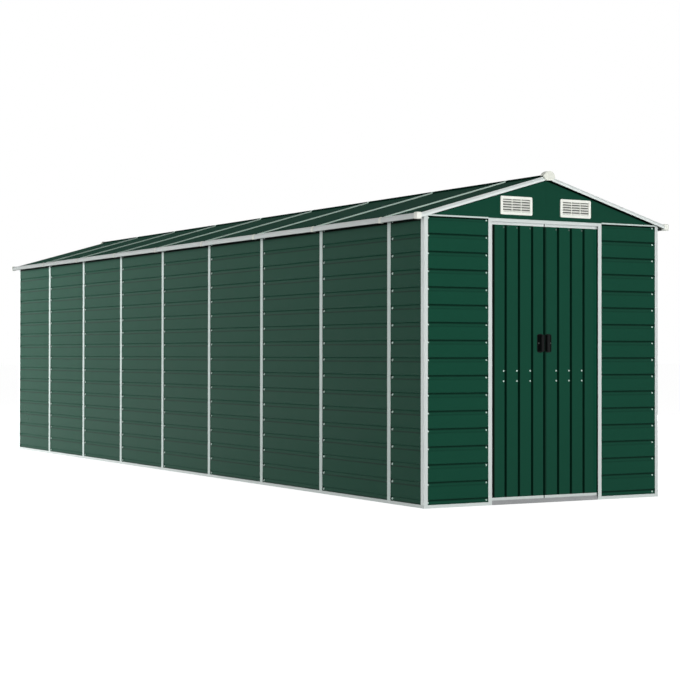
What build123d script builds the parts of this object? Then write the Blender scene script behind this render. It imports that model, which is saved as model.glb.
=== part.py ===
"""Long steel storage shed with lapped wall panels, a pitched roof and two sliding doors.

Millimetres, Z up. The origin is on the ground in the middle of the plan, and the
doorway is in the end wall that faces -Y.
"""
import os
from math import atan2, cos, sin, tan

from build123d import *

os.makedirs("parts", exist_ok=True)

# Plan of the walls, over the outer faces of the posts
wall_width = 1775.0
front_bay = 400.0
bay_pitch = 850.0
bay_count = 8

# Heights of the walls and of the roof deck, the plane that the roof sheets lie on
wall_top = 1735.0
eave_drop = 8.0
roof_rise = 277.0
eave_overhang = 67.5
gable_overhang = 25.0

# Sheet thicknesses and fits
frame_sheet = 1.5
panel_sheet = 1.0
trim_sheet = 1.2
fit = 0.5
slide_fit = 0.3
running_gap = 6.2

# Lapped wall panels: the first lap is the lowest, the top one hides behind the rail
course_count = 17
first_lap = 50.0
top_lap_cover = 5.0
lap_depth = 8.0
lap_drop = 2.0
lap_bevel = 26.0
corner_set = 14.0

# Base rails, posts and top rails
rail_lip = 20.0
rail_foot = 40.0
post_face = 37.0
post_back = 60.0
corner_front_leg = 25.0
corner_side_leg = 38.0
corner_chamfer = 12.0
side_rail_lip = 30.0
side_rail_depth = 40.0
side_rail_drop = 25.0
gable_lip = 9.0
gable_rail_drop = 25.0

# Doorway and door tracks
door_half = 403.0
jamb_face = 27.0
jamb_set = 13.0
header_face = 15.0
track_depth = 34.0
track_lip = 26.0
track_end_gap = 2.5
sill_nose = 4.0
sill_run = 9.0

# Door leaves
meeting_gap = 6.0
leaf_overlap = 24.0
leaf_bottom = 22.0
leaf_tuck = 8.0
right_grooves = 3
left_grooves = 4
groove_pitch = 99.0
groove_shift = 8.0
groove_depth = 16.0
groove_floor = 10.0
groove_slope = 3.0
leaf_bottom_rail = 20.5
leaf_top_rail = 16.5
brace_low = 735.0
brace_high = 820.0
brace_depth = 15.0
brace_set = 12.0
slider_length = 50.0
slider_set = 35.0

# Door handles
handle_width = 46.0
handle_height = 114.0
handle_low = 920.0
handle_set = 5.0
handle_plate = 4.0
handle_chamfer = 6.0
grip_width = 22.0
grip_height = 104.0
grip_set = 3.0
grip_reach = 17.0
grip_chamfer = 4.0

# Gable sheets and vents
gable_seam = 0.3
gable_skirt = 4.0
vent_width = 236.0
vent_height = 112.0
vent_spread = 450.0
vent_lift = 21.0
vent_frame = 17.0
vent_thickness = 6.0
vent_corner = 6.0
vent_clear = 3.0
blade_count = 5
blade_thickness = 2.0
blade_depth = 8.0
blade_rise = 11.0
mullion_count = 2
mullion_width = 5.0
mullion_depth = 1.5

# Roof sheets, seam strips and ridge
sheet_ridge_gap = 2.0
rake_cover = 12.0
seam_gap = 6.0
upturn = 6.0
strip_width = 16.0
strip_height = 8.5
strip_end_gap = 10.0
ridge_cap_half = 26.0
ridge_cap_rise = 11.0
ridge_beam_half = 60.0
ridge_beam_drop = 30.0
rafter_depth = 35.0
rafter_flange = 20.0

# Trims of the roof's edges and their plastic caps
eave_trim_rise = 10.0
eave_trim_face = 34.0
rake_trim_rise = 3.0
rake_trim_face = 25.0
trim_bevel = 10.0
trim_bevel_drop = 12.0
trim_lap = 30.0
eave_return = 23.0
rake_return = 15.0
rake_gap = 1.0
joiner_length = 26.0
joiner_sheet = 2.0
corner_cap = 35.0
corner_cap_wall = 2.5
corner_cap_proud = 3.0
corner_cap_chamfer = 8.0
corner_cap_low = 3.0
corner_cap_high = 6.0
corner_cap_tuck = 4.0
end_cap_half = 41.0
end_cap_foot_half = 24.0
end_cap_crown = 29.0
end_cap_side = 10.0
end_cap_taper = 19.0
end_cap_plate = 12.0
end_cap_rim = 3.0

# Sizes that follow from those above
wall_length = front_bay + bay_count * bay_pitch
half_width = wall_width / 2
half_length = wall_length / 2
eave_height = wall_top - eave_drop
ridge_height = eave_height + roof_rise
roof_half = half_width + eave_overhang
roof_half_length = half_length + gable_overhang
slope = atan2(roof_rise, roof_half)
panel_face = frame_sheet
slot_back = frame_sheet + lap_depth + 2 * panel_sheet
wall_depth = slot_back + frame_sheet
track_front = wall_depth
track_back = track_front + track_depth
track_top = wall_top - frame_sheet
track_half = half_width - rail_foot - track_end_gap
leaf_face = track_front + frame_sheet + running_gap
leaf_back = leaf_face + groove_depth + panel_sheet
leaf_inner = meeting_gap / 2
leaf_outer = door_half + leaf_overlap
jamb_web = door_half + jamb_set
header_top = wall_top - gable_lip
header_bottom = header_top - header_face
leaf_top = header_bottom + leaf_tuck
vent_centre = wall_top + vent_lift + vent_height / 2
course_pitch = (wall_top - top_lap_cover - first_lap) / (course_count - 1)
bay_lines = [front_bay - half_length + bay_pitch * bay for bay in range(bay_count)]
sheet_rise = panel_sheet / cos(slope)

# Plan planes of the walls: local x runs along the wall and local y goes in
front_plan = Plane((0, -half_length, 0), x_dir=(1, 0, 0), z_dir=(0, 0, 1))
right_plan = Plane((half_width, 0, 0), x_dir=(0, 1, 0), z_dir=(0, 0, 1))
back_plan = Plane((0, half_length, 0), x_dir=(-1, 0, 0), z_dir=(0, 0, 1))

# Deck plane of the right roof slope: local x runs down the slope and local y to the back
right_deck = Plane(
    (0, 0, ridge_height),
    x_dir=(cos(slope), 0, -sin(slope)),
    z_dir=(sin(slope), 0, cos(slope)),
)


def deck(reach):
    """Height of the roof deck at a distance from the ridge line."""
    return ridge_height - abs(reach) * tan(slope)


def across(plan, station):
    """Section plane across a wall: local x goes in and local y goes up."""
    return Plane(plan.from_local_coords((station, 0, 0)), x_dir=plan.y_dir, z_dir=plan.x_dir)


def facing(plan, depth):
    """Plane in a wall at a depth from its outer face: local y goes up and its normal points out."""
    return Plane(plan.from_local_coords((0, depth, 0)), x_dir=plan.x_dir, z_dir=-plan.y_dir)


def folded(folds, thickness, side):
    """Section of a sheet folded along a line of points and thickened to one side of it."""
    with BuildSketch() as section:
        with BuildLine():
            Polyline(*folds)
            offset(amount=thickness, side=side, kind=Kind.INTERSECTION)
        make_face()
    return section.sketch


def finish(piece, name):
    """Name a finished piece and write its STEP file."""
    piece.part.label = name
    export_step(piece.part, f"parts/{name}.step")


def finish_mirrored(piece, plane, name):
    """Write the mirror image of a finished piece."""
    with BuildPart() as image:
        mirror(piece.part, about=plane)
    finish(image, name)


# Base rails: channels that the wall panels stand in, mitred at the corners
def rail_section(foot):
    """Section of a base rail, with or without the foot that lies on the ground inside."""
    folds = [(0, rail_lip), (0, 0), (wall_depth, 0), (wall_depth, rail_lip)]
    with BuildSketch() as section:
        add(folded(folds, frame_sheet, Side.LEFT))
        if foot:
            with Locations((wall_depth, 0)):
                Rectangle(foot - wall_depth, frame_sheet, align=Align.MIN)
    return section.sketch


def mitre_plane(plan, station, way):
    """Upright plane at 45 degrees through a wall's end, facing the part of the wall that stays."""
    return Plane(plan.from_local_coords((station, 0, 0)), z_dir=plan.x_dir * way - plan.y_dir)


with BuildPart() as side_base_rails:
    with BuildSketch(across(right_plan, -half_length)):
        add(rail_section(rail_foot))
    extrude(amount=wall_length)
    split(bisect_by=mitre_plane(right_plan, -half_length, 1), keep=Keep.TOP)
    split(bisect_by=mitre_plane(right_plan, half_length, -1), keep=Keep.TOP)
    mirror(about=Plane.YZ)
finish(side_base_rails, "side_base_rails")

with BuildPart() as back_base_rail:
    with BuildSketch(across(back_plan, -half_width)):
        add(rail_section(rail_foot))
    extrude(amount=wall_width)
    split(bisect_by=mitre_plane(back_plan, -half_width, 1), keep=Keep.TOP)
    split(bisect_by=mitre_plane(back_plan, half_width, -1), keep=Keep.TOP)
finish(back_base_rail, "back_base_rail")

with BuildPart() as front_base_rails:
    with BuildSketch(across(front_plan, door_half + jamb_face)):
        add(rail_section(0))
    extrude(amount=half_width - door_half - jamb_face)
    split(bisect_by=mitre_plane(front_plan, half_width, -1), keep=Keep.TOP)
    mirror(about=Plane.YZ)
finish(front_base_rails, "front_base_rails")


# Posts: folded corner posts, and H-section posts that grip the panels of the walls
with BuildPart() as corner_posts:
    corner = [
        (0, corner_front_leg),
        (0, corner_chamfer),
        (corner_chamfer, 0),
        (corner_side_leg, 0),
    ]
    with BuildSketch(Plane((half_width, -half_length, rail_lip), x_dir=(0, 1, 0), z_dir=(0, 0, 1))):
        add(folded(corner, frame_sheet, Side.LEFT))
    extrude(amount=header_top - rail_lip)
    mirror(about=Plane.YZ)
    mirror(about=Plane.XZ)
finish(corner_posts, "corner_posts")


def wall_posts(plan, stations, top):
    """H-section posts at the stations of a wall, from the base rail to a top rail."""
    with BuildPart() as posts:
        for station in stations:
            with BuildSketch(plan.offset(rail_lip)):
                with Locations((station, frame_sheet / 2)):
                    Rectangle(post_face, frame_sheet)
                with Locations((station, wall_depth / 2)):
                    Rectangle(frame_sheet, wall_depth)
                with Locations((station, wall_depth - frame_sheet / 2)):
                    Rectangle(post_back, frame_sheet)
            extrude(amount=top - rail_lip)
    return posts


side_lip_bottom = deck(half_width) - side_rail_lip
right_wall_posts = wall_posts(right_plan, bay_lines, side_lip_bottom)
finish(right_wall_posts, "right_wall_posts")
finish_mirrored(right_wall_posts, Plane.YZ, "left_wall_posts")
back_wall_post = wall_posts(back_plan, [0], header_top)
finish(back_wall_post, "back_wall_post")


# Wall panels: sheets pressed into lapped courses
def lap_section():
    """Section of a lapped panel, drawn down its outer face from behind the top rail."""
    top_lap = first_lap + (course_count - 1) * course_pitch
    valley = panel_face + lap_depth
    folds = [
        (valley, track_top - fit),
        (valley, top_lap - lap_drop),
        (panel_face, top_lap - lap_bevel),
    ]
    for course in reversed(range(course_count - 1)):
        lap = first_lap + course * course_pitch
        folds += [(panel_face, lap), (valley, lap - lap_drop), (panel_face, lap - lap_bevel)]
    folds.append((panel_face, frame_sheet))
    return folded(folds, panel_sheet, Side.LEFT)


def wall_panels(plan, stations, start, end):
    """Lapped panels along a wall, from its start to its end and parted at the posts' webs."""
    grip = frame_sheet / 2 + fit
    starts = [start] + [station + grip for station in stations]
    ends = [station - grip for station in stations] + [end]
    section = lap_section()
    with BuildPart() as panels:
        for first, last in zip(starts, ends):
            with BuildSketch(across(plan, first)):
                add(section)
            extrude(amount=last - first)
    return panels


right_wall_panels = wall_panels(right_plan, bay_lines, corner_set - half_length, half_length - corner_set)
finish(right_wall_panels, "right_wall_panels")
finish_mirrored(right_wall_panels, Plane.YZ, "left_wall_panels")
back_wall_panels = wall_panels(back_plan, [0], corner_set - half_width, half_width - corner_set)
finish(back_wall_panels, "back_wall_panels")
front_right_panel = wall_panels(front_plan, [], jamb_web + frame_sheet + fit, half_width - corner_set)
finish(front_right_panel, "front_right_panel")
finish_mirrored(front_right_panel, Plane.YZ, "front_left_panel")


# Top rails: the side rails follow the roof's slope, the gable rails carry the gables
with BuildPart() as side_top_rails:
    inner = half_width - side_rail_depth
    side_folds = [
        (0, side_lip_bottom),
        (0, deck(half_width)),
        (side_rail_depth, deck(inner)),
        (side_rail_depth, deck(inner) - side_rail_drop),
    ]
    side_rail_end = half_length - track_back - frame_sheet
    with BuildSketch(across(right_plan, -side_rail_end)):
        add(folded(side_folds, frame_sheet, Side.RIGHT))
    extrude(amount=2 * side_rail_end)
    mirror(about=Plane.YZ)
finish(side_top_rails, "side_top_rails")

with BuildPart() as gable_rails:
    rail_back = track_back + frame_sheet
    gable_folds = [(0, header_top), (0, wall_top), (rail_back, wall_top)]
    with BuildSketch(across(front_plan, -half_width)):
        add(folded(gable_folds, frame_sheet, Side.RIGHT))
    extrude(amount=wall_width)
    rear_lip_half = half_width - wall_depth - fit
    with BuildSketch(across(front_plan, -rear_lip_half)):
        with Locations((track_back, wall_top)):
            Rectangle(frame_sheet, gable_rail_drop, align=(Align.MIN, Align.MAX))
    extrude(amount=2 * rear_lip_half)
    mirror(about=Plane.XZ)
finish(gable_rails, "gable_rails")


# Doorway: jambs, header, sill, and the channels that the doors slide in
with BuildPart() as door_jambs:
    with BuildSketch(front_plan):
        with Locations((door_half, 0)):
            Rectangle(jamb_face, frame_sheet, align=Align.MIN)
        with Locations((jamb_web, 0)):
            Rectangle(frame_sheet, wall_depth, align=Align.MIN)
        with Locations((jamb_web, wall_depth - frame_sheet)):
            Rectangle(jamb_face - jamb_set, frame_sheet, align=Align.MIN)
    extrude(amount=header_top)
    mirror(about=Plane.YZ)
finish(door_jambs, "door_jambs")

with BuildPart() as door_header:
    header = [(0, header_top), (0, header_bottom), (wall_depth, header_bottom)]
    with BuildSketch(across(front_plan, -door_half)):
        add(folded(header, frame_sheet, Side.LEFT))
    extrude(amount=2 * door_half)
finish(door_header, "door_header")

with BuildPart() as door_sill:
    sill = [(0, 0), (0, sill_nose), (sill_run, track_lip), (wall_depth, track_lip)]
    with BuildSketch(across(front_plan, -door_half)):
        add(folded(sill, trim_sheet, Side.RIGHT))
    extrude(amount=2 * door_half)
finish(door_sill, "door_sill")

with BuildPart() as top_door_track:
    top_channel = [
        (track_front, header_bottom),
        (track_front, track_top),
        (track_back, track_top),
        (track_back, header_bottom),
    ]
    with BuildSketch(across(front_plan, -track_half)):
        add(folded(top_channel, frame_sheet, Side.RIGHT))
    extrude(amount=2 * track_half)
finish(top_door_track, "top_door_track")

with BuildPart() as bottom_door_track:
    bottom_channel = [(track_front, track_lip), (track_front, 0), (track_back, 0), (track_back, track_lip)]
    with BuildSketch(across(front_plan, -track_half)):
        add(folded(bottom_channel, frame_sheet, Side.LEFT))
    extrude(amount=2 * track_half)
finish(bottom_door_track, "bottom_door_track")


# Door leaves: grooved sheets in a frame of two folded rails and a brace behind the middle
def door_leaf(side, groove_count):
    """Leaf of one side, with grooves in step with the other leaf's and set back where they meet."""
    half_floor = groove_floor / 2
    groove_back = leaf_face + groove_depth
    folds = [
        (side * leaf_inner, groove_back),
        (side * half_floor, groove_back),
        (side * (half_floor + groove_slope), leaf_face),
    ]
    for groove in range(1, groove_count + 1):
        centre = side * groove * groove_pitch + groove_shift
        folds += [
            (centre - side * (half_floor + groove_slope), leaf_face),
            (centre - side * half_floor, groove_back),
            (centre + side * half_floor, groove_back),
            (centre + side * (half_floor + groove_slope), leaf_face),
        ]
    folds.append((side * leaf_outer, leaf_face))
    with BuildPart() as leaf:
        with BuildSketch(front_plan.offset(leaf_bottom + trim_sheet)):
            add(folded(folds, panel_sheet, Side.LEFT if side > 0 else Side.RIGHT))
        extrude(amount=leaf_top - leaf_bottom - 2 * trim_sheet)
    return leaf


right_door = door_leaf(1, right_grooves)
finish(right_door, "right_door")
left_door = door_leaf(-1, left_grooves)
finish(left_door, "left_door")

with BuildPart() as right_door_frame:
    rail_face = leaf_face - trim_sheet
    rail_rear = leaf_back + trim_sheet
    low_rail = [
        (rail_face, leaf_bottom + leaf_bottom_rail),
        (rail_face, leaf_bottom),
        (rail_rear, leaf_bottom),
        (rail_rear, leaf_bottom + leaf_bottom_rail),
    ]
    high_rail = [
        (rail_face, header_bottom - leaf_top_rail),
        (rail_face, leaf_top),
        (rail_rear, leaf_top),
        (rail_rear, header_bottom - leaf_top_rail),
    ]
    with BuildSketch(across(front_plan, leaf_inner)):
        add(folded(low_rail, trim_sheet, Side.LEFT))
        add(folded(high_rail, trim_sheet, Side.RIGHT))
    extrude(amount=leaf_outer - leaf_inner)
    brace = [
        (leaf_back + brace_depth, brace_low),
        (leaf_back, brace_low),
        (leaf_back, brace_high),
        (leaf_back + brace_depth, brace_high),
    ]
    with BuildSketch(across(front_plan, leaf_inner + brace_set)):
        add(folded(brace, trim_sheet, Side.RIGHT))
    extrude(amount=leaf_outer - leaf_inner - 2 * brace_set)
finish(right_door_frame, "right_door_frame")
finish_mirrored(right_door_frame, Plane.YZ, "left_door_frame")

with BuildPart() as right_door_sliders:
    slider_front = track_front + frame_sheet + slide_fit
    slider_rear = track_back - frame_sheet - slide_fit
    slider_top = track_top - frame_sheet - slide_fit
    slider_foot = frame_sheet + slide_fit
    slider_centre = (slider_front + slider_rear) / 2
    slider_places = [
        (leaf_inner + slider_set, slider_centre),
        (leaf_outer - slider_set, slider_centre),
    ]
    for low, high in [(slider_foot, leaf_bottom), (leaf_top, slider_top)]:
        with BuildSketch(front_plan.offset(low)):
            with Locations(*slider_places):
                Rectangle(slider_length, slider_rear - slider_front)
        extrude(amount=high - low)
finish(right_door_sliders, "right_door_sliders")
finish_mirrored(right_door_sliders, Plane.YZ, "left_door_sliders")

with BuildPart() as right_door_handle:
    handle_inner = leaf_inner + handle_set
    handle_middle = handle_low + handle_height / 2
    with BuildSketch(facing(front_plan, leaf_face)) as plate:
        with Locations((handle_inner + handle_width / 2, handle_middle)):
            Rectangle(handle_width, handle_height)
        chamfer(plate.vertices(), length=handle_chamfer)
    extrude(amount=handle_plate)
    with BuildSketch(facing(front_plan, leaf_face - handle_plate)):
        with Locations((handle_inner + grip_set + grip_width / 2, handle_middle)):
            Rectangle(grip_width, grip_height)
    extrude(amount=grip_reach)
    chamfer(right_door_handle.faces().sort_by(Axis.Y)[0].edges(), length=grip_chamfer)
finish(right_door_handle, "right_door_handle")
finish_mirrored(right_door_handle, Plane.YZ, "left_door_handle")


# Gables: two flat sheets that meet at a seam, with openings behind the vents
vent_opening_width = vent_width - 2 * vent_frame
vent_opening_height = vent_height - 2 * vent_frame
def gable(plan, skirted):
    """Gable sheets over an end wall, with or without a skirt that laps over the rail at the doorway."""
    reach = half_width - frame_sheet
    with BuildPart() as sheets:
        with BuildSketch(facing(plan, panel_face)):
            with BuildLine():
                Polyline(
                    (gable_seam / 2, wall_top),
                    (reach, wall_top),
                    (reach, deck(reach)),
                    (gable_seam / 2, deck(gable_seam / 2)),
                    close=True,
                )
            make_face()
            with Locations((vent_spread / 2, vent_centre)):
                Rectangle(
                    vent_opening_width + 2 * vent_clear,
                    vent_opening_height + 2 * vent_clear,
                    mode=Mode.SUBTRACT,
                )
        extrude(amount=-panel_sheet)
        if skirted:
            skirt = [
                (panel_face + panel_sheet, wall_top + panel_sheet),
                (-panel_sheet, wall_top + panel_sheet),
                (-panel_sheet, wall_top - gable_skirt),
            ]
            with BuildSketch(across(plan, gable_seam / 2)):
                add(folded(skirt, panel_sheet, Side.LEFT))
            extrude(amount=door_half + jamb_face - gable_seam / 2)
        mirror(about=Plane.YZ)
    return sheets


finish(gable(front_plan, True), "front_gable")
finish(gable(back_plan, False), "back_gable")

# Vents: a moulded frame with sloping blades behind two upright bars
with BuildPart() as front_vents:
    with BuildSketch(facing(front_plan, panel_face)) as vent_face:
        with Locations((vent_spread / 2, vent_centre)):
            Rectangle(vent_width, vent_height)
            chamfer(vent_face.vertices(), length=vent_corner)
            Rectangle(vent_opening_width, vent_opening_height, mode=Mode.SUBTRACT)
    extrude(amount=vent_thickness)
    blade_pitch = vent_opening_height / blade_count
    blade_gap = blade_pitch - blade_rise - blade_thickness
    blade_outer = panel_face - vent_thickness + blade_thickness
    blade_start = (vent_spread - vent_opening_width) / 2 - blade_thickness / 2
    with BuildSketch(across(front_plan, blade_start)):
        for blade in range(blade_count):
            blade_foot = vent_centre - vent_opening_height / 2 + blade * blade_pitch + blade_gap / 2
            with BuildLine():
                Polyline(
                    (blade_outer, blade_foot),
                    (blade_outer + blade_depth, blade_foot + blade_rise),
                    (blade_outer + blade_depth, blade_foot + blade_rise + blade_thickness),
                    (blade_outer, blade_foot + blade_thickness),
                    close=True,
                )
            make_face()
    extrude(amount=vent_opening_width + blade_thickness)
    mullion_pitch = vent_opening_width / (mullion_count + 1)
    with BuildSketch(facing(front_plan, panel_face - vent_thickness)):
        with Locations((vent_spread / 2, vent_centre)):
            with GridLocations(mullion_pitch, 0, mullion_count, 1):
                Rectangle(mullion_width, vent_opening_height)
    extrude(amount=-mullion_depth)
    mirror(about=Plane.YZ)
finish(front_vents, "front_vents")
finish_mirrored(front_vents, Plane.XZ, "back_vents")


# Roof frame: a ridge beam and the rafters under the seams
with BuildPart() as ridge_beam:
    beam_edge = deck(ridge_beam_half)
    beam_folds = [
        (-ridge_beam_half, beam_edge - ridge_beam_drop),
        (-ridge_beam_half, beam_edge),
        (0, ridge_height),
        (ridge_beam_half, beam_edge),
        (ridge_beam_half, beam_edge - ridge_beam_drop),
    ]
    with BuildSketch(Plane.XZ):
        add(folded(beam_folds, frame_sheet, Side.RIGHT))
    extrude(amount=half_length - panel_face - panel_sheet, both=True)
finish(ridge_beam, "ridge_beam")


def rafter_band(depth_from, depth_to):
    """Strip of a rafter between two depths under the deck, from ridge beam to side rail."""
    foot = half_width - side_rail_depth
    with BuildSketch() as band:
        with BuildLine():
            Polyline(
                (ridge_beam_half, deck(ridge_beam_half) - depth_from),
                (foot, deck(foot) - depth_from),
                (foot, deck(foot) - depth_to),
                (ridge_beam_half, deck(ridge_beam_half) - depth_to),
                close=True,
            )
        make_face()
    return band.sketch


with BuildPart() as rafters:
    for bay_line in bay_lines:
        with BuildSketch(Plane.XZ.offset(-bay_line)):
            add(rafter_band(0, rafter_depth))
        extrude(amount=frame_sheet)
        with BuildSketch(Plane.XZ.offset(-bay_line)):
            add(rafter_band(0, frame_sheet))
            add(rafter_band(rafter_depth - frame_sheet, rafter_depth))
        extrude(amount=rafter_flange)
    mirror(about=Plane.YZ)
finish(rafters, "rafters")


# Roof sheets: flat sheets turned up at their seams, and the strips that cap the seams
sheet_start = sheet_ridge_gap / cos(slope)
strip_start = ridge_cap_half / cos(slope) + fit
seam_end = (roof_half - trim_lap - strip_end_gap) / cos(slope)
with BuildPart() as right_roof_panels:
    sheet_end = (roof_half - trim_bevel) / cos(slope)
    edge = roof_half_length - rake_cover
    fronts = [-edge] + [bay_line + seam_gap / 2 for bay_line in bay_lines]
    backs = [bay_line - seam_gap / 2 for bay_line in bay_lines] + [edge]
    for front, back in zip(fronts, backs):
        with BuildSketch(right_deck):
            with Locations((sheet_start, front)):
                Rectangle(sheet_end - sheet_start, back - front, align=Align.MIN)
        extrude(amount=panel_sheet)
    for bay_line in bay_lines:
        upturn_places = [
            (strip_start, bay_line - seam_gap / 2 - panel_sheet),
            (strip_start, bay_line + seam_gap / 2),
        ]
        with BuildSketch(right_deck):
            with Locations(*upturn_places):
                Rectangle(seam_end - strip_start, panel_sheet, align=Align.MIN)
        extrude(amount=upturn)
finish(right_roof_panels, "right_roof_panels")
finish_mirrored(right_roof_panels, Plane.YZ, "left_roof_panels")

with BuildPart() as roof_strips:
    strip_folds = [
        (-strip_width / 2, panel_sheet),
        (-strip_width / 2, strip_height),
        (strip_width / 2, strip_height),
        (strip_width / 2, panel_sheet),
    ]
    for bay_line in bay_lines:
        strip_origin = right_deck.from_local_coords((strip_start, bay_line, 0))
        with BuildSketch(Plane(strip_origin, x_dir=right_deck.y_dir, z_dir=right_deck.x_dir)):
            add(folded(strip_folds, trim_sheet, Side.RIGHT))
        extrude(amount=seam_end - strip_start)
    mirror(about=Plane.YZ)
finish(roof_strips, "roof_strips")

with BuildPart() as ridge_cap:
    cap_edge = deck(ridge_cap_half) + ridge_cap_rise
    cap_seat = deck(ridge_cap_half - panel_sheet) + sheet_rise
    cap_folds = [
        (-ridge_cap_half, cap_seat),
        (-ridge_cap_half, cap_edge),
        (0, ridge_height + ridge_cap_rise),
        (ridge_cap_half, cap_edge),
        (ridge_cap_half, cap_seat),
    ]
    with BuildSketch(Plane.XZ):
        add(folded(cap_folds, panel_sheet, Side.RIGHT))
    extrude(amount=roof_half_length - trim_lap, both=True)
finish(ridge_cap, "ridge_cap")


# Edge trims: bevelled eave trims along the sides and rake trims up the gables
eave_top = deck(roof_half - trim_bevel) + eave_trim_rise
eave_bottom = eave_top - eave_trim_face
eave_seat = deck(roof_half - trim_lap) + sheet_rise + trim_sheet / cos(slope)
eave_folds = [
    (roof_half - trim_lap, eave_seat),
    (roof_half - trim_bevel, eave_top),
    (roof_half, eave_top - trim_bevel_drop),
    (roof_half, eave_bottom),
    (roof_half - eave_return, eave_bottom),
]
with BuildPart() as eave_trims:
    with BuildSketch(Plane.XZ):
        add(folded(eave_folds, trim_sheet, Side.RIGHT))
    extrude(amount=roof_half_length - corner_cap + corner_cap_tuck, both=True)
    mirror(about=Plane.YZ)
finish(eave_trims, "eave_trims")

with BuildPart() as front_rakes:
    rake_folds = [
        (trim_lap, rake_trim_rise),
        (trim_bevel, rake_trim_rise),
        (0, rake_trim_rise - trim_bevel_drop),
        (0, rake_trim_rise - rake_trim_face),
        (rake_return, rake_trim_rise - rake_trim_face),
    ]
    rake_origin = right_deck.from_local_coords((-rake_trim_face, -roof_half_length, 0))
    with BuildSketch(Plane(rake_origin, x_dir=right_deck.y_dir, z_dir=right_deck.x_dir)):
        add(folded(rake_folds, trim_sheet, Side.LEFT))
    extrude(amount=roof_half / cos(slope) + 2 * rake_trim_face)
    split(bisect_by=Plane((rake_gap, 0, 0), z_dir=(1, 0, 0)), keep=Keep.TOP)
    rake_foot = roof_half - corner_cap + corner_cap_tuck
    split(bisect_by=Plane((rake_foot, 0, 0), z_dir=(-1, 0, 0)), keep=Keep.TOP)
    mirror(about=Plane.YZ)
finish(front_rakes, "front_rakes")
finish_mirrored(front_rakes, Plane.XZ, "back_rakes")


# Plastic caps: joiners on the eave trims, corner caps and the caps at the ridge's ends
with BuildPart() as eave_joiners:
    for bay_line in bay_lines:
        with BuildSketch(Plane.XZ.offset(-bay_line)):
            add(folded(eave_folds[1:], joiner_sheet, Side.LEFT))
        extrude(amount=joiner_length / 2, both=True)
    mirror(about=Plane.YZ)
finish(eave_joiners, "eave_joiners")

with BuildPart() as eave_corner_caps:
    cap_low = eave_bottom - corner_cap_low
    cap_high = deck(roof_half - corner_cap) + sheet_rise + corner_cap_high
    cap_x = roof_half + corner_cap_proud
    cap_y = -roof_half_length - corner_cap_proud
    cap_size = corner_cap + corner_cap_proud
    cap_corner = (cap_x - cap_size / 2, cap_y + cap_size / 2, (cap_low + cap_high) / 2)
    with Locations(cap_corner):
        Box(cap_size, cap_size, cap_high - cap_low)
    upright = eave_corner_caps.edges().filter_by(Axis.Z).group_by(Axis.X)[-1].sort_by(Axis.Y)[0]
    chamfer(upright, length=corner_cap_chamfer)
    with Locations(cap_corner):
        with Locations((-corner_cap_wall, corner_cap_wall, 0)):
            Box(cap_size, cap_size, cap_high - cap_low - 2 * corner_cap_wall, mode=Mode.SUBTRACT)
    mirror(about=Plane.YZ)
    mirror(about=Plane.XZ)
finish(eave_corner_caps, "eave_corner_caps")


def crown_of_cap(half, rise):
    """Round top of a ridge end cap, drawn into the line being built."""
    ThreePointArc((-half, ridge_height), (0, ridge_height + rise), (half, ridge_height))


with BuildPart() as ridge_end_caps:
    cap_front = facing(front_plan, -gable_overhang)
    waist = ridge_height - end_cap_side
    with BuildSketch(cap_front):
        with BuildLine():
            crown_of_cap(end_cap_half, end_cap_crown)
            Polyline(
                (end_cap_half, ridge_height),
                (end_cap_half, waist),
                (end_cap_foot_half, waist - end_cap_taper),
                (-end_cap_foot_half, waist - end_cap_taper),
                (-end_cap_half, waist),
                (-end_cap_half, ridge_height),
            )
        make_face()
    extrude(amount=end_cap_plate)
    with BuildSketch(cap_front):
        with BuildLine():
            crown_of_cap(end_cap_half, end_cap_crown)
            Line((-end_cap_half, ridge_height), (end_cap_half, ridge_height))
        make_face()
        with BuildLine():
            inner_half = end_cap_half - end_cap_rim
            crown_of_cap(inner_half, end_cap_crown - end_cap_rim)
            Line((-inner_half, ridge_height), (inner_half, ridge_height))
        make_face(mode=Mode.SUBTRACT)
    extrude(amount=-trim_lap)
    mirror(about=Plane.XZ)
finish(ridge_end_caps, "ridge_end_caps")
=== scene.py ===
"""Looks of the steel storage shed: finishes, fasteners, mouldings, floor, light and camera.

Metres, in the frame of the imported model: Z up, origin on the ground in the middle of the
plan, and the doorway in the end wall that faces -Y.
"""
from math import atan2, copysign, cos, pi, radians, sin

import bmesh
import bpy
from mathutils import Matrix, Vector


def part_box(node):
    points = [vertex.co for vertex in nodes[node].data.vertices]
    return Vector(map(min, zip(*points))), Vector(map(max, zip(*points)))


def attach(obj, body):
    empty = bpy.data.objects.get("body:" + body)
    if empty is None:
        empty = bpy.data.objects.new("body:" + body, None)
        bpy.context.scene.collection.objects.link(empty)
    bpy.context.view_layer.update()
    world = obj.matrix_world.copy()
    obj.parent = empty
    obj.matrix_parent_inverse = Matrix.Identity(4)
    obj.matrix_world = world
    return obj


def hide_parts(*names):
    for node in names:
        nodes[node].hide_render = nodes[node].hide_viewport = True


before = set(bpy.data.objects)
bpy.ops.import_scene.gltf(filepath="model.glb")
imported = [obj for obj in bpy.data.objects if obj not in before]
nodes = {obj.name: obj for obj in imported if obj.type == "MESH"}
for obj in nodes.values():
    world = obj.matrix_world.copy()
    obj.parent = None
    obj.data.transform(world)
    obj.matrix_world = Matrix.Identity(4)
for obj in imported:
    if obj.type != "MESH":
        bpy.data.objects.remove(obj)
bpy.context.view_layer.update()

# Wall grid, as the posts and the pressed laps of the panels set it
front_bay = 0.400
bay_pitch = 0.850
bay_count = 8
first_lap = 0.050
lap_pitch = 0.105
lap_count = 17
lap_depth = 0.008
lap_drop = 0.002
lap_bevel = 0.026
panel_depth = 0.0015
post_face = 0.037
corner_leg = 0.025

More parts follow.
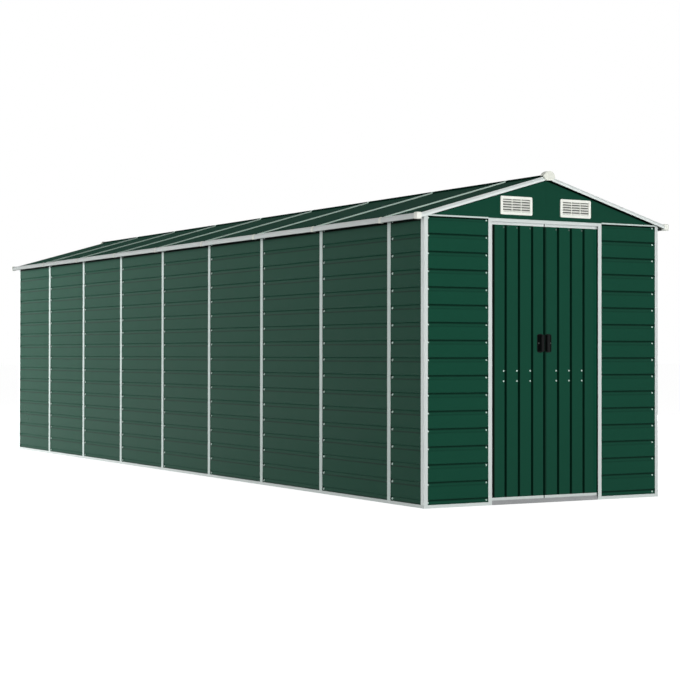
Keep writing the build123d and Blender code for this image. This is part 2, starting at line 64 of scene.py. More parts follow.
# Fall of the roof per metre across, and the height where the rakes' lower edges meet
roof_fall = 0.290
rake_foot = 1.981

# Places that the frame gives
front_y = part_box("front_base_rails")[0].y
back_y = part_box("back_base_rail")[1].y
side_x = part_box("side_base_rails")[1].x
bay_lines = [front_y + front_bay + bay_pitch * bay for bay in range(bay_count)]
laps = [first_lap + lap_pitch * lap for lap in range(lap_count)]
eave_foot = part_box("eave_trims")[0].z
rail_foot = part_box("door_header")[1].z
ridge_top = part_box("ridge_cap")[1].z
ridge_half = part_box("ridge_cap")[1].x
vent_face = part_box("back_vents")[1].y

# Two points this close are in the same place
tolerance = 1e-4


# Node trees, with the numbers of a Mix node's colour sockets
mix_from = 6
mix_to = 7
mix_result = 2


def node(tree, kind, inputs=None, **settings):
    """Add a node, set its properties, and set or link its inputs by name or number."""
    made = tree.nodes.new(kind)
    for name, value in settings.items():
        setattr(made, name, value)
    for name, value in (inputs or {}).items():
        if isinstance(value, bpy.types.NodeSocket):
            tree.links.new(value, made.inputs[name])
        else:
            made.inputs[name].default_value = value
    return made


def new_finish(name, **sockets):
    """A material with a Principled shader whose named sockets are set."""
    material = bpy.data.materials.new(name)
    material.use_nodes = True
    shader = material.node_tree.nodes["Principled BSDF"]
    for socket, value in sockets.items():
        shader.inputs[socket.replace("_", " ")].default_value = value
    return material, material.node_tree, shader


def noise(tree, place, scale, detail, stretch=(1, 1, 1)):
    """Noise value at a place, with its grain scaled along each axis."""
    spread = node(tree, "ShaderNodeMapping", {"Vector": place, "Scale": stretch})
    grain = node(
        tree,
        "ShaderNodeTexNoise",
        {"Vector": spread.outputs["Vector"], "Scale": scale, "Detail": detail},
    )
    return grain.outputs["Fac"]


def between(tree, share, low, high):
    """Number that goes from low to high as the share goes from 0 to 1."""
    span = node(tree, "ShaderNodeMapRange", {"Value": share, "To Min": low, "To Max": high})
    return span.outputs["Result"]


def blend(tree, share, first, second):
    """Number that goes from the first value to the second as the share goes from 0 to 1."""
    return node(tree, "ShaderNodeMix", {"Factor": share, "A": first, "B": second}).outputs["Result"]


def tones(tree, share, dark, light):
    """Colour that goes from dark to light as the share goes from 0 to 1."""
    mixed = node(tree, "ShaderNodeMix", {"Factor": share}, data_type="RGBA")
    mixed.inputs[mix_from].default_value = (*dark, 1)
    mixed.inputs[mix_to].default_value = (*light, 1)
    return mixed.outputs[mix_result]


def shade(colour, factor):
    """A colour made darker or lighter by a factor."""
    return tuple(channel * factor for channel in colour)


def raised(tree, height, distance, strength, normal=None):
    """Normal of a surface with small relief on it."""
    inputs = {"Height": height, "Distance": distance, "Strength": strength}
    if normal:
        inputs["Normal"] = normal
    return node(tree, "ShaderNodeBump", inputs).outputs["Normal"]


def coordinate(tree, way):
    """A coordinate of the shaded point."""
    place = node(tree, "ShaderNodeTexCoord").outputs["Object"]
    return node(tree, "ShaderNodeSeparateXYZ", {0: place}).outputs[way]


def facing(tree, way):
    """How far the shaded face looks along an axis, from -1 to 1."""
    normal = node(tree, "ShaderNodeNewGeometry").outputs["True Normal"]
    return node(tree, "ShaderNodeSeparateXYZ", {0: normal}).outputs[way]


def calculate(tree, operation, *terms):
    """Result of an operation on numbers."""
    return node(tree, "ShaderNodeMath", dict(enumerate(terms)), operation=operation).outputs[0]


def beyond(tree, value, start, full):
    """Share that goes from 0 to 1 as a value goes from a start to a full mark."""
    ramp = node(
        tree,
        "ShaderNodeMapRange",
        {"Value": value, "From Min": start, "From Max": full},
        interpolation_type="SMOOTHSTEP",
    )
    return ramp.outputs["Result"]


def lines(tree, way, first, pitch, core, reach):
    """Share that is 1 within a core of each line of an even row and 0 beyond a reach from it."""
    above = calculate(tree, "SUBTRACT", coordinate(tree, way), first - pitch / 2)
    step = calculate(tree, "FLOORED_MODULO", above, pitch)
    away = calculate(tree, "ABSOLUTE", calculate(tree, "SUBTRACT", step, pitch / 2))
    return beyond(tree, away, reach, core)


# Painted shade and painted light: where a finish is painted darker or lighter, in folds and seams, under
# trims and on some faces
fold_reach = 0.008
lap_edge_drop = 0.005
lap_edge_reach = 0.010
groove_pitch = 0.099
groove_shift = 0.008
groove_half = 0.008
groove_reach = 0.011
groove_end = 0.350
left_margin = -0.373
right_margin = 0.398
seam_reach = 0.070
vent_mouth = 0.004
vent_throat = 0.011
shade_fade = 0.007
eave_gap = 0.003
rail_gap = 0.006
rake_gap = 0.003
eave_shade_start = -2.4
eave_shade_end = 3.4
turn_start = 0.3
turn_full = 0.8


def painted_fold_shade(tree):
    """Share of the folds at the foot of the laps' bevels, where a painted shade line darkens the crease."""
    return lines(tree, "Z", first_lap - lap_bevel, lap_pitch, 0.0, fold_reach)


def painted_lap_shade(tree):
    """Share of the edges of the laps, where the shade under each lap is painted as a dark line."""
    return lines(tree, "Z", first_lap - lap_edge_drop, lap_pitch, 0.0, lap_edge_reach)


def painted_groove_shade(tree):
    """Share of the grooves of the door leaves, where the shade in the grooves is painted dark."""
    rows = lines(tree, "X", groove_shift, groove_pitch, groove_half, groove_reach)
    before_end = calculate(tree, "LESS_THAN", coordinate(tree, "X"), groove_end)
    return calculate(tree, "MULTIPLY", rows, before_end)


def painted_left_margin_shadow(tree):
    """Share of the left leaf's margin, which goes under the jamb, where the jamb's shadow is painted dark."""
    return beyond(tree, coordinate(tree, "X"), left_margin + shade_fade, left_margin)


def painted_right_margin_light(tree):
    """Share of the right leaf's margin, which goes under the jamb, where painted light lifts the jamb's
    shade.
    """
    return beyond(tree, coordinate(tree, "X"), right_margin - shade_fade, right_margin)


def painted_seam_shade(tree):
    """Share of the roof sheets beside the strips that cap their seams, where the shade beside the strips is
    painted dark.
    """
    return lines(tree, "Y", bay_lines[0], bay_pitch, 0.0, seam_reach)


def undersides_painted_light_and_shade(tree):
    """Share of the faces that look down, painted dark as shade under the trims and painted lighter as light
    on the walls' lap ledges.
    """
    return beyond(tree, facing(tree, "Z"), -turn_start, -turn_full)


def side_faces_painted_light(tree):
    """Share of the faces that look to the left or the right, which are painted lighter as painted light."""
    return beyond(tree, calculate(tree, "ABSOLUTE", facing(tree, "X")), turn_start, turn_full)


def painted_vent_slot_shade(tree):
    """Share of the depths of the vents' slots, where the shade in the slots is painted dark."""
    out = calculate(tree, "ABSOLUTE", coordinate(tree, "Y"))
    return beyond(tree, out, vent_face - vent_mouth, vent_face - vent_throat)


def painted_far_eave_shade(tree):
    """Share of the eaves towards the back, which are painted darker there as painted shade."""
    return beyond(tree, coordinate(tree, "Y"), eave_shade_start, eave_shade_end)


def under(tree, height, edge):
    """Share of the places whose height comes up to an edge, below which the painted shade fades out."""
    return beyond(tree, height, edge - shade_fade, edge)


def painted_eave_shadow(tree):
    """Share of the tops of the side walls, under the eaves, where the eaves' shadow is painted dark."""
    return under(tree, coordinate(tree, "Z"), eave_foot - eave_gap)


def painted_rail_shadow(tree):
    """Share of the tops of the end walls, under the rails of the gables, where the rails' shadow is painted
    dark.
    """
    return under(tree, coordinate(tree, "Z"), rail_foot - rail_gap)


def painted_rake_shadow(tree):
    """Share of the tops of the gables, under the rakes, where the rakes' shadow is painted dark."""
    off = calculate(tree, "ABSOLUTE", coordinate(tree, "X"))
    fall = calculate(tree, "MULTIPLY", off, roof_fall)
    height = calculate(tree, "ADD", coordinate(tree, "Z"), fall)
    return under(tree, height, rake_foot - rake_gap)


# Finishes
steel_drift = 0.06
plastic_drift = 0.08
speck_share = 0.3
streak_share = 0.75


def shaded(tree, colour, tone, shades):
    """A colour socket mixed to a share of its tone, in turn, where each painted shade and painted light
    falls.
    """
    for share, depth in shades:
        mixed = node(tree, "ShaderNodeMix", {"Factor": share(tree), mix_from: colour}, data_type="RGBA")
        mixed.inputs[mix_to].default_value = (*shade(tone, depth), 1)
        colour = mixed.outputs[mix_result]
    return colour


def painted_steel(name, colour, gloss, roughness, contrast, shades=()):
    """Coil-coated sheet: fine orange peel, a faint wave from rolling, faint shifts of tone, and painted shade
    and painted light.
    """
    material, tree, shader = new_finish(name, Specular_IOR_Level=gloss)
    place = node(tree, "ShaderNodeTexCoord").outputs["Object"]
    cloud = noise(tree, place, scale=1.3, detail=3.0)
    speck = noise(tree, place, scale=260.0, detail=2.0)
    tone = blend(tree, speck_share, cloud, speck)
    paint = tones(tree, tone, shade(colour, 1 - contrast), shade(colour, 1 + contrast))
    paint = shaded(tree, paint, colour, shades)
    rolled = noise(tree, place, scale=5.0, detail=1.0)
    wave = raised(tree, rolled, distance=0.004, strength=0.25)
    pitted = noise(tree, place, scale=420.0, detail=2.0)
    peel = raised(tree, pitted, distance=0.0004, strength=0.25, normal=wave)
    dulled = between(tree, cloud, roughness - steel_drift, roughness + steel_drift)
    tree.links.new(paint, shader.inputs["Base Color"])
    tree.links.new(dulled, shader.inputs["Roughness"])
    tree.links.new(peel, shader.inputs["Normal"])
    return material


def galvanised_steel(name, dark, pale):
    """Bare zinc-coated sheet with the dark and pale flakes of its spangle."""
    material, tree, shader = new_finish(name, Metallic=0.5)
    place = node(tree, "ShaderNodeTexCoord").outputs["Object"]
    flakes = node(tree, "ShaderNodeTexVoronoi", {"Vector": place, "Scale": 260.0})
    flake = node(tree, "ShaderNodeSeparateColor", {"Color": flakes.outputs["Color"]}).outputs["Red"]
    streak = noise(tree, place, scale=8.0, detail=4.0, stretch=(0.5, 4.0, 4.0))
    tone = blend(tree, streak_share, flake, streak)
    relief = raised(tree, streak, distance=0.0006, strength=0.3)
    tree.links.new(tones(tree, tone, dark, pale), shader.inputs["Base Color"])
    tree.links.new(between(tree, tone, low=0.34, high=0.55), shader.inputs["Roughness"])
    tree.links.new(relief, shader.inputs["Normal"])
    return material


def moulded_plastic(name, colour, gloss, roughness, grain_scale, shades=()):
    """Moulded plastic with a fine spark-eroded grain, slightly uneven gloss, and painted shade where given.
    """
    material, tree, shader = new_finish(name, Specular_IOR_Level=gloss)
    place = node(tree, "ShaderNodeTexCoord").outputs["Object"]
    cloud = noise(tree, place, scale=9.0, detail=3.0)
    grain = noise(tree, place, scale=grain_scale, detail=2.0)
    tint = tones(tree, cloud, shade(colour, 0.93), shade(colour, 1.05))
    dulled = between(tree, grain, roughness - plastic_drift, roughness + plastic_drift)
    tree.links.new(shaded(tree, tint, colour, shades), shader.inputs["Base Color"])
    tree.links.new(dulled, shader.inputs["Roughness"])
    tree.links.new(raised(tree, grain, distance=0.0003, strength=0.3), shader.inputs["Normal"])
    return material


def wall_paint(name, colour, shades=()):
    """The walls' smooth paint."""
    return painted_steel(name, colour, gloss=0.05, roughness=0.30, contrast=0.06, shades=shades)


def roof_paint(name, colour, shades=()):
    """The roof's dull paint."""
    return painted_steel(name, colour, gloss=0.02, roughness=0.86, contrast=0.08, shades=shades)


def trim_paint(name, colour, shades=()):
    """The satin paint of posts, rails and trims."""
    return painted_steel(name, colour, gloss=0.30, roughness=0.45, contrast=0.025, shades=shades)


def screw_paint(name, colour, contrast):
    """The finish of screws."""
    return painted_steel(name, colour, gloss=0.30, roughness=0.40, contrast=contrast)


def cream_moulding(name, colour, shades=()):
    """The plastic of vents, caps and joiners."""
    return moulded_plastic(name, colour, gloss=0.25, roughness=0.50, grain_scale=700.0, shades=shades)


wall_green = (0.0067, 0.0600, 0.0352)
# The roof's green is the walls' paint darkened, as painted shade
shaded_roof_green = (0.0065, 0.0480, 0.0290)
white = (0.660, 0.710, 0.695)
mint_white = (0.620, 0.715, 0.685)
# The roof strips' white is painted brighter than the trims', as painted light
lit_strip_white = (0.76, 0.97, 0.86)
cream = (0.82, 0.84, 0.76)
pale_cream = (0.93, 0.95, 0.88)
black = (0.006, 0.007, 0.007)
rubber_black = (0.0015, 0.0020, 0.0018)
dark_flake = (0.22, 0.23, 0.235)
pale_flake = (0.42, 0.43, 0.435)
screw_white = (0.58, 0.73, 0.67)
zinc_black = (0.045, 0.050, 0.048)
zinc_green = (0.080, 0.130, 0.110)

finishes = {
    "wall_paint": wall_paint("green_wall_paint", wall_green),
    # The roof's shade beside the strips is painted dark
    "roof_paint": roof_paint("green_roof_paint", shaded_roof_green, [(painted_seam_shade, 0.20)]),
    "trim": trim_paint("white_trim_paint", white),
    "galvanised": galvanised_steel("galvanised_sheet", dark_flake, pale_flake),
    "cream_plastic": cream_moulding("cream_moulding", cream),
    "black_plastic": moulded_plastic("black_moulding", black, gloss=0.10, roughness=0.45, grain_scale=900.0),
}
for piece in nodes.values():
    piece.data.materials[0] = finishes[piece.data.materials[0].name]

# Finishes of single nodes, each painted shade and painted light with its share of the tone
# End walls: painted shade in the lap folds and under the laps, and a painted shadow under the gable rails
end_shades = [(painted_fold_shade, 0.80), (painted_lap_shade, 0.34), (painted_rail_shadow, 0.10)]
# Side walls: painted shade in the lap folds, under the laps and under the eaves, and painted light on the lap
# ledges
side_shades = [(painted_fold_shade, 0.48), (painted_lap_shade, 0.96), (undersides_painted_light_and_shade, 1.50), (painted_eave_shadow, 0.06)]
# Door leaves: painted shade in the grooves and on the left margin, and painted light on the right margin
leaf_shades = [(painted_groove_shade, 0.50), (painted_left_margin_shadow, 0.08), (painted_right_margin_light, 1.35)]
# The eaves are painted darker towards the back and dark underneath, as painted shade
eave_shades = [(painted_far_eave_shade, 0.52), (undersides_painted_light_and_shade, 0.02)]
end_paint = wall_paint("green_end_wall_paint", wall_green, end_shades)
side_paint = wall_paint("green_side_wall_paint", wall_green, side_shades)
leaf_paint = wall_paint("green_leaf_paint", wall_green, leaf_shades)
# The gables are the walls' green darkened, as painted shade, with the rakes' shadow painted dark
shaded_gable_paint = wall_paint("green_gable_paint", shade(wall_green, 0.88), [(painted_rake_shadow, 0.04)])
# The ridge cap is painted far darker than the roof, as painted shade along the ridge
ridge_painted_shade = roof_paint("green_ridge_paint", shade(shaded_roof_green, 0.30))
eave_paint = trim_paint("white_eave_paint", white, eave_shades)
# The rakes are painted lighter than the trims, as painted light, and dark underneath, as painted shade
lit_rake_paint = trim_paint("white_rake_paint", shade(white, 1.18), [(undersides_painted_light_and_shade, 0.02)])
rail_paint = trim_paint("white_rail_paint", shade(mint_white, 0.95))
# The corner posts' side faces are painted lighter, as painted light
corner_paint = trim_paint("white_corner_paint", white, [(side_faces_painted_light, 1.28)])
post_paint = trim_paint("white_post_paint", mint_white)
# The strips and saddles are painted brighter than the trims, as painted light
lit_strip_paint = trim_paint("white_strip_paint", lit_strip_white)
# The joiners are painted darker towards the back, as painted shade
joiner_plastic = cream_moulding("cream_joiner", cream, [(painted_far_eave_shade, 0.48)])
# The vents' slots are painted dark in their depths, as painted shade
vent_plastic = cream_moulding("cream_vent", pale_cream, [(painted_vent_slot_shade, 0.04)])
repainted = {
    "front_left_panel": end_paint,
    "front_right_panel": end_paint,
    "back_wall_panels": end_paint,
    "left_wall_panels": side_paint,
    "right_wall_panels": side_paint,
    "left_door": leaf_paint,
    "right_door": leaf_paint,
    "front_gable": shaded_gable_paint,
    "back_gable": shaded_gable_paint,
    "front_rakes": lit_rake_paint,
    "back_rakes": lit_rake_paint,
    "eave_trims": eave_paint,
    "eave_joiners": joiner_plastic,
    "gable_rails": rail_paint,
    "left_wall_posts": post_paint,
    "right_wall_posts": post_paint,
    "ridge_cap": ridge_painted_shade,
    "roof_strips": lit_strip_paint,
    "front_vents": vent_plastic,
    "back_vents": vent_plastic,
}
for name, paint in repainted.items():
    nodes[name].data.materials[0] = paint

# Finishes of the pieces that are added below
screw_finish = screw_paint("screw_paint", screw_white, contrast=0.03)
dark_zinc = screw_paint("dark_zinc", zinc_black, contrast=0.05)
green_zinc = screw_paint("green_zinc", zinc_green, contrast=0.05)
black_rubber = moulded_plastic("black_rubber", rubber_black, gloss=0.03, roughness=0.60, grain_scale=600.0)
cap_plastic = cream_moulding("pale_moulding", pale_cream)


# Added pieces
round_steps = 4
sharp_angle = radians(40)


def add_piece(name, mesh, finish, body):
    """Object of a finished mesh that rides on a body and takes a slot's finish."""
    data = bpy.data.meshes.new(name)
    mesh.to_mesh(data)
    mesh.free()
    data.materials.append(finish)
    piece = bpy.data.objects.new(name, data)
    bpy.context.scene.collection.objects.link(piece)
    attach(piece, body)
    return piece


def smooth(piece):
    """Shade a piece's round edges smoothly and keep its sharp ones."""
    piece.data.shade_smooth()
    piece.data.set_sharp_from_angle(angle=sharp_angle)


def mesh_of(name):
    """A copy of a node's mesh, to be changed."""
    mesh = bmesh.new()
    mesh.from_mesh(nodes[name].data)
    return mesh


def block(mesh, low, high):
    """Edges of a new block between two corners."""
    made = bmesh.ops.create_cube(mesh, size=1.0)["verts"]
    span = Vector(high) - Vector(low)
    middle = (Vector(high) + Vector(low)) / 2
    bmesh.ops.transform(mesh, matrix=Matrix.Translation(middle) @ Matrix.Diagonal((*span, 1)), verts=made)
    return list(dict.fromkeys(line for point in made for line in point.link_edges))


def round_off(mesh, edges, radius):
    """Make edges of a mesh round."""
    bmesh.ops.bevel(mesh, geom=edges, offset=radius, segments=round_steps, profile=0.5, affect="EDGES")


def round_front_block(mesh, low, high, corner, edge):
    """Block between two corners, round at the corners of its outline and along the edges of its front."""
    half_depth = (high[1] - low[1]) / 2
    inward = [
        line
        for line in block(mesh, low, high)
        if abs(line.verts[0].co.y - line.verts[1].co.y) > half_depth
    ]
    round_off(mesh, inward, corner)
    front = [
        line
        for line in mesh.edges
        if all(abs(point.co.y - low[1]) < tolerance for point in line.verts)
    ]
    round_off(mesh, front, edge)


# Screws
washer_radius = 0.0054
washer_height = 0.0010
washer_wall_share = 0.7
washer_top_share = 0.93
head_radius = 0.0042
head_height = 0.0032
head_wall_share = 0.55
head_top_share = 0.86
head_shoulder_share = 0.85
recess_radius = 0.0020
recess_waist = 0.0008
recess_depth = 0.0016
recess_floor_share = 0.6
recess_arms = 4
screw_sides = 16
side_wall_size = 1.45


def ring(mesh, radii, height):
    """Ring of points at the radii, in turn, and a height."""
    step = 2 * pi / len(radii)
    return [
        mesh.verts.new((radius * cos(step * side), radius * sin(step * side), height))
        for side, radius in enumerate(radii)
    ]


def skin(mesh, lower, upper):
    """Faces between two rings of as many points."""
    count = len(lower)
    for side in range(count):
        after = (side + 1) % count
        mesh.faces.new((lower[side], lower[after], upper[after], upper[side]))


def screw_mesh():
    """A pan-head screw on its washer, seated at the origin and facing +Z, with a cross recess."""
    mesh = bmesh.new()
    plain = [
        (washer_radius, 0),
        (washer_radius, washer_wall_share * washer_height),
        (washer_top_share * washer_radius, washer_height),
        (head_radius, washer_height),
        (head_radius, head_wall_share * head_height),
        (head_top_share * head_radius, head_shoulder_share * head_height),
    ]
    rings = [ring(mesh, [radius] * screw_sides, height) for radius, height in plain]
    sides_per_arm = screw_sides // recess_arms
    star = [
        recess_radius if side % sides_per_arm == 0 else recess_waist
        for side in range(screw_sides)
    ]
    rings.append(ring(mesh, star, head_height))
    recess_floor = [recess_floor_share * radius for radius in star]
    rings.append(ring(mesh, recess_floor, head_height - recess_depth))
    for lower, upper in zip(rings, rings[1:]):
        skin(mesh, lower, upper)
    mesh.faces.new(rings[-1])
    data = bpy.data.meshes.new("screw")
    mesh.to_mesh(data)
    mesh.free()
    return data


one_screw = screw_mesh()


def screws(name, seats, body, finish=screw_finish, size=1.0):
    """One mesh of screws of a relative size, each seated at a point and facing along its direction."""
    mesh = bmesh.new()
    for place, way in seats:
        turn = Vector(way).to_track_quat("Z", "Y").to_matrix().to_4x4()
        seating = Matrix.Translation(place) @ turn @ Matrix.Scale(size, 4)
        before = len(mesh.verts)
        mesh.from_mesh(one_screw)
        mesh.verts.ensure_lookup_table()
        bmesh.ops.transform(mesh, matrix=seating, verts=mesh.verts[before:])
    add_piece(name, mesh, finish, body)


# Screws of the walls, beside the posts, jambs and corners
screw_drop = 0.016
bevel_tilt = atan2(lap_depth, lap_bevel - lap_drop)
bevel_depth = panel_depth + lap_depth * (lap_bevel - screw_drop) / (lap_bevel - lap_drop)
open_gap = 0.0120
far_gap = 0.0200
tight_gap = 0.0050
strip_gap = 0.0180
jamb_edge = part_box("door_jambs")[1].x
corner_edge = side_x - corner_leg
back_edge = post_face / 2


def wall_columns(origin, along, inward, stations):
    """Seats of the screws of upright rows on a lapped wall, one on the bevel of each course."""
    way = -Vector(inward) * cos(bevel_tilt) + Vector((0, 0, sin(bevel_tilt)))
    seats = []
    for station in stations:
        place = Vector(origin) + Vector(along) * station + Vector(inward) * bevel_depth
        seats += [(place + Vector((0, 0, lap - screw_drop)), way) for lap in laps]
    return seats


front_stations = [
    -corner_edge + tight_gap,
    -jamb_edge - open_gap,
    corner_edge - far_gap,
]
front_seats = wall_columns((0, front_y, 0), (1, 0, 0), (0, 1, 0), front_stations)
screws("front_wall_screws", front_seats, "shed")

side_stations = [bay_line - post_face / 2 - strip_gap for bay_line in bay_lines]
for side, name in ((-1, "left_wall_screws"), (1, "right_wall_screws")):
    side_seats = wall_columns((side * side_x, 0, 0), (0, 1, 0), (-side, 0, 0), side_stations)
    screws(name, side_seats, "shed", size=side_wall_size)

back_stations = [
    -corner_edge + open_gap,
    -back_edge - open_gap,
    back_edge + open_gap,
    corner_edge - open_gap,
]
back_seats = wall_columns((0, back_y, 0), (1, 0, 0), (0, -1, 0), back_stations)
screws("back_wall_screws", back_seats, "shed")


# Screws of the doors, beside the grooves: two rows at the brace and a dull one at the top rail
door_screw_rows = (0.746, 0.808)
rail_screw_rows = (1.680,)
door_screw_columns = 3
groove_gap = 0.015


def leaf_seats(side, leaf_y, rows):
    """Seats of the screws of one leaf in rows at some heights."""
    seats = []
    for column in range(1, door_screw_columns + 1):
        across = side * column * groove_pitch + groove_shift - groove_gap
        seats += [(Vector((across, leaf_y, height)), (0, -1, 0)) for height in rows]
    return seats


for side, body in ((-1, "left_door"), (1, "right_door")):
    leaf_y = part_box(body)[0].y
    screws(body + "_screws", leaf_seats(side, leaf_y, door_screw_rows), body)
    screws(body + "_rail_screws", leaf_seats(side, leaf_y, rail_screw_rows), body, green_zinc)


# Door handles: moulded plates with a round-edged grip and a rubber pad for the fingers
plate_depth = 0.004
plate_round = 0.014
plate_edge = 0.0012
grip_width = 0.022
grip_height = 0.104
grip_set = 0.003
grip_round = 0.006
pad_inset = 0.003
pad_rise = 0.0006


def dress_handle(side, body):
    """Pull, pad and screw of one door, in the place of its plain handle."""
    low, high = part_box(body + "_handle")
    inner, outer = (low.x, high.x) if side > 0 else (high.x, low.x)
    plate_front = high.y - plate_depth

    handle = bmesh.new()
    round_front_block(handle, (low.x, plate_front, low.z), tuple(high), plate_round, plate_edge)
    grip_ends = sorted((inner + side * grip_set, inner + side * (grip_set + grip_width)))
    grip_trim = (high.z - low.z - grip_height) / 2
    round_front_block(
        handle,
        (grip_ends[0], low.y, low.z + grip_trim),
        (grip_ends[1], plate_front, high.z - grip_trim),
        grip_round,
        grip_round / 2,
    )
    moulding = add_piece(body + "_pull", handle, finishes["black_plastic"], body)
    smooth(moulding)
    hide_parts(body + "_handle")

    pad_front = plate_front - pad_rise
    pad_ends = sorted((inner + side * (grip_set + grip_width + pad_inset), outer - side * pad_inset))
    pad = bmesh.new()
    round_front_block(
        pad,
        (pad_ends[0], pad_front, low.z + 2 * pad_inset),
        (pad_ends[1], plate_front, high.z - 2 * pad_inset),
        pad_inset,
        pad_rise / 2,
    )
    smooth(add_piece(body + "_pad", pad, black_rubber, body))

    middle = Vector((sum(pad_ends) / 2, pad_front, (low.z + high.z) / 2))
    screws(body + "_handle_screw", [(middle, (0, -1, 0))], body, dark_zinc)


for side, body in ((-1, "left_door"), (1, "right_door")):
    dress_handle(side, body)


# Corner caps of the eaves, with round edges
cap_size = 0.038
cap_round = 0.007

low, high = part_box("eave_corner_caps")
caps = bmesh.new()
for x_side in (-1, 1):
    for y_side in (-1, 1):
        x_ends = sorted((x_side * high.x, x_side * (high.x - cap_size)))
        y_ends = sorted((y_side * high.y, y_side * (high.y - cap_size)))
        edges = block(caps, (x_ends[0], y_ends[0], low.z), (x_ends[1], y_ends[1], high.z))
        round_off(caps, edges, cap_round)
corner_caps = add_piece("eave_corner_mouldings", caps, cap_plastic, "shed")
smooth(corner_caps)
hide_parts("eave_corner_caps")


# Corner posts, folded more sharply than the solids
post_fold = 0.003
fold_margin = 0.013

posts = mesh_of("corner_posts")
for point in posts.verts:
    if abs(point.co.x) > side_x - tolerance and abs(point.co.y) > back_y - fold_margin:
        point.co.y = copysign(back_y - post_fold, point.co.y)
sharp_posts = add_piece("folded_corner_posts", posts, corner_paint, "shed")
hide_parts("corner_posts")


# Ridge: an end cap that stays below the ridge line at the back, and saddles that carry the strips over
strip_width = 0.016
saddle_sheet = 0.0012
saddle_skirt = 0.007

ridge_caps = mesh_of("ridge_end_caps")
for point in ridge_caps.verts:
    if point.co.y > 0:
        point.co.z = min(point.co.z, ridge_top - saddle_sheet)
end_caps = add_piece("ridge_end_mouldings", ridge_caps, finishes["cream_plastic"], "shed")
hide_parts("ridge_end_caps")


def saddle_line(sheet):
    """Points across the ridge on a saddle's inner face, or on its outer face at the sheet's thickness."""
    reach = ridge_half + sheet
    edge = ridge_top - ridge_half * roof_fall
    foot = edge - saddle_skirt
    right = [(reach, edge + sheet), (reach, foot)]
    left = [(-across, height) for across, height in reversed(right)]
    return [*left, (0, ridge_top + sheet), *right]


def add_saddle(mesh, bay_line):
    """A folded strip of sheet over the ridge at a seam."""
    ends = [bay_line - strip_width / 2, bay_line + strip_width / 2]
    loops = [
        [[mesh.verts.new((across, end, height)) for across, height in saddle_line(sheet)] for end in ends]
        for sheet in (0, saddle_sheet)
    ]
    (inner_front, inner_back), (outer_front, outer_back) = loops
    for step in range(len(inner_front) - 1):
        after = step + 1
        for first, second in (
            (outer_front, outer_back),
            (inner_back, inner_front),
            (inner_front, outer_front),
            (outer_back, inner_back),
        ):
            mesh.faces.new((first[step], first[after], second[after], second[step]))
    for foot in (0, -1):
        mesh.faces.new((inner_front[foot], outer_front[foot], outer_back[foot], inner_back[foot]))


saddles = bmesh.new()
for bay_line in bay_lines:
    add_saddle(saddles, bay_line)
bmesh.ops.recalc_face_normals(saddles, faces=saddles.faces)
add_piece("ridge_saddles", saddles, lit_strip_paint, "shed")


# Camera, solved from the shed's own edges in the photograph
eye = Vector((-6.2431, -11.965, 0.9082))
yaw = 0.51956
pitch = 0.00845
roll = 0.0010
photo_focal_pixels = 1686.68
photo_width_pixels = 680
sensor = 36.0
view_reach = 500.0


def aim_camera():
    """The photograph's camera: its place, turn and focal length."""
    forward = Vector((sin(yaw) * cos(pitch), cos(yaw) * cos(pitch), sin(pitch)))
    right = Vector((cos(yaw), -sin(yaw), 0))
    up = right.cross(forward)
    across = right * cos(roll) + up * sin(roll)
    above = up * cos(roll) - right * sin(roll)
    camera = bpy.data.objects.new("camera", bpy.data.cameras.new("camera"))
    camera.data.sensor_width = sensor
    camera.data.lens = photo_focal_pixels / photo_width_pixels * sensor
    camera.data.clip_end = view_reach
    turn = Matrix((across, above, -forward)).transposed().to_4x4()
    camera.matrix_world = Matrix.Translation(eye) @ turn
    bpy.context.scene.collection.objects.link(camera)
    bpy.context.scene.camera = camera


aim_camera()


# Floor, world and lamps
floor_half = 120.0
floor_colour = (0.80, 0.80, 0.80, 1)
shown_floor_colour = (0.33, 0.33, 0.33, 1)
shown_floor_glow = 0.95
horizon_strength = 0.26
zenith_strength = 0.04


def seen_directly(tree):
    """Share that is 1 for rays from the camera, or by way of gloss or glass, and 0 for other light."""
    path = node(tree, "ShaderNodeLightPath").outputs
    gloss = calculate(tree, "MAXIMUM", path["Is Camera Ray"], path["Is Glossy Ray"])
    return calculate(tree, "MAXIMUM", gloss, path["Is Transmission Ray"])


def indoors(tree):
    """Share that is 1 on the floor inside the shed's walls and 0 in the open."""
    inside = []
    for way, reach in (("X", side_x), ("Y", back_y)):
        off = calculate(tree, "ABSOLUTE", coordinate(tree, way))
        inside.append(calculate(tree, "LESS_THAN", off, reach))
    return calculate(tree, "MULTIPLY", *inside)


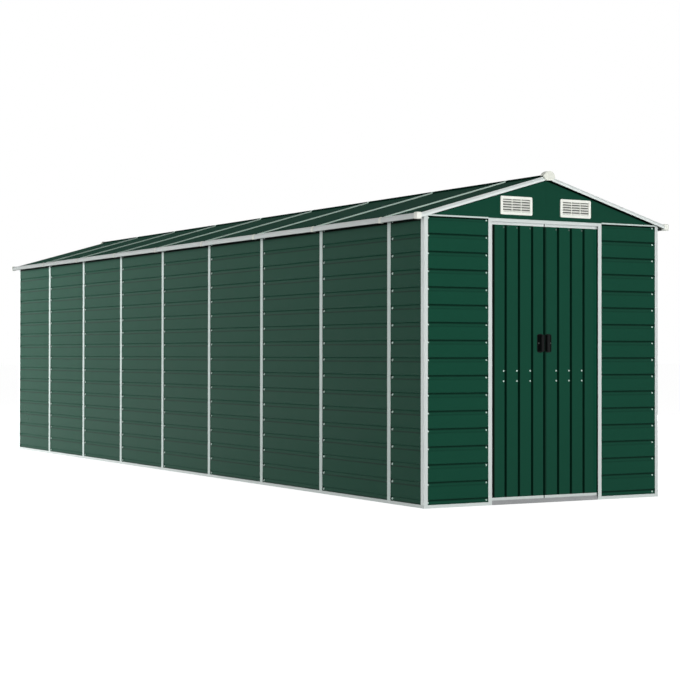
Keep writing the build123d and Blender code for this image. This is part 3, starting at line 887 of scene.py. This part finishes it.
def lay_floor():
    """A pale floor that looks white in the open and keeps the shed's soft shadow."""
    mesh = bmesh.new()
    bmesh.ops.create_grid(mesh, x_segments=1, y_segments=1, size=floor_half)
    data = bpy.data.meshes.new("floor")
    mesh.to_mesh(data)
    mesh.free()
    floor = bpy.data.objects.new("floor", data)
    bpy.context.scene.collection.objects.link(floor)
    material = bpy.data.materials.new("floor_white")
    material.use_nodes = True
    tree = material.node_tree
    tree.nodes.clear()
    plain = node(tree, "ShaderNodeBsdfDiffuse", {"Color": floor_colour})
    shown = node(tree, "ShaderNodeBsdfDiffuse", {"Color": shown_floor_colour})
    glow = node(tree, "ShaderNodeEmission", {"Strength": between(tree, indoors(tree), shown_floor_glow, 0.0)})
    lifted = node(tree, "ShaderNodeAddShader", {0: shown.outputs[0], 1: glow.outputs[0]})
    both = node(
        tree,
        "ShaderNodeMixShader",
        {0: seen_directly(tree), 1: plain.outputs[0], 2: lifted.outputs[0]},
    )
    node(tree, "ShaderNodeOutputMaterial", {"Surface": both.outputs[0]})
    data.materials.append(material)


def light_world():
    """A pale sky that is brightest at the horizon, and white where it is seen directly."""
    world = bpy.data.worlds.new("studio")
    world.use_nodes = True
    tree = world.node_tree
    tree.nodes.clear()
    way = node(tree, "ShaderNodeTexCoord").outputs["Generated"]
    rise = node(tree, "ShaderNodeSeparateXYZ", {0: way}).outputs["Z"]
    strength = between(tree, rise, horizon_strength, zenith_strength)
    sky = node(tree, "ShaderNodeBackground", {"Strength": strength})
    seen = node(tree, "ShaderNodeBackground", {"Strength": 1.0})
    for background in (sky, seen):
        background.inputs["Color"].default_value = (1, 1, 1, 1)
    both = node(
        tree,
        "ShaderNodeMixShader",
        {0: seen_directly(tree), 1: sky.outputs[0], 2: seen.outputs[0]},
    )
    node(tree, "ShaderNodeOutputWorld", {"Surface": both.outputs[0]})
    bpy.context.scene.world = world


def softbox(name, place, target, size, power):
    """A square soft lamp at a place, facing a target."""
    lamp = bpy.data.lights.new(name, "AREA")
    lamp.size = size
    lamp.energy = power
    box = bpy.data.objects.new(name, lamp)
    box.location = place
    box.rotation_euler = (Vector(target) - Vector(place)).to_track_quat("-Z", "Y").to_euler()
    box.visible_glossy = False
    bpy.context.scene.collection.objects.link(box)


lay_floor()
light_world()
softbox("key", place=(-1.0, -12.0, 1.8), target=(0.0, -3.6, 1.0), size=4.0, power=550.0)
for side, name in ((-1, "rear_left"), (1, "rear_right")):
    softbox(name, place=(side * 9.0, 9.0, 2.2), target=(side * 0.9, 3.0, 0.9), size=5.0, power=1390.0)

bpy.context.scene.view_settings.view_transform = "Standard"
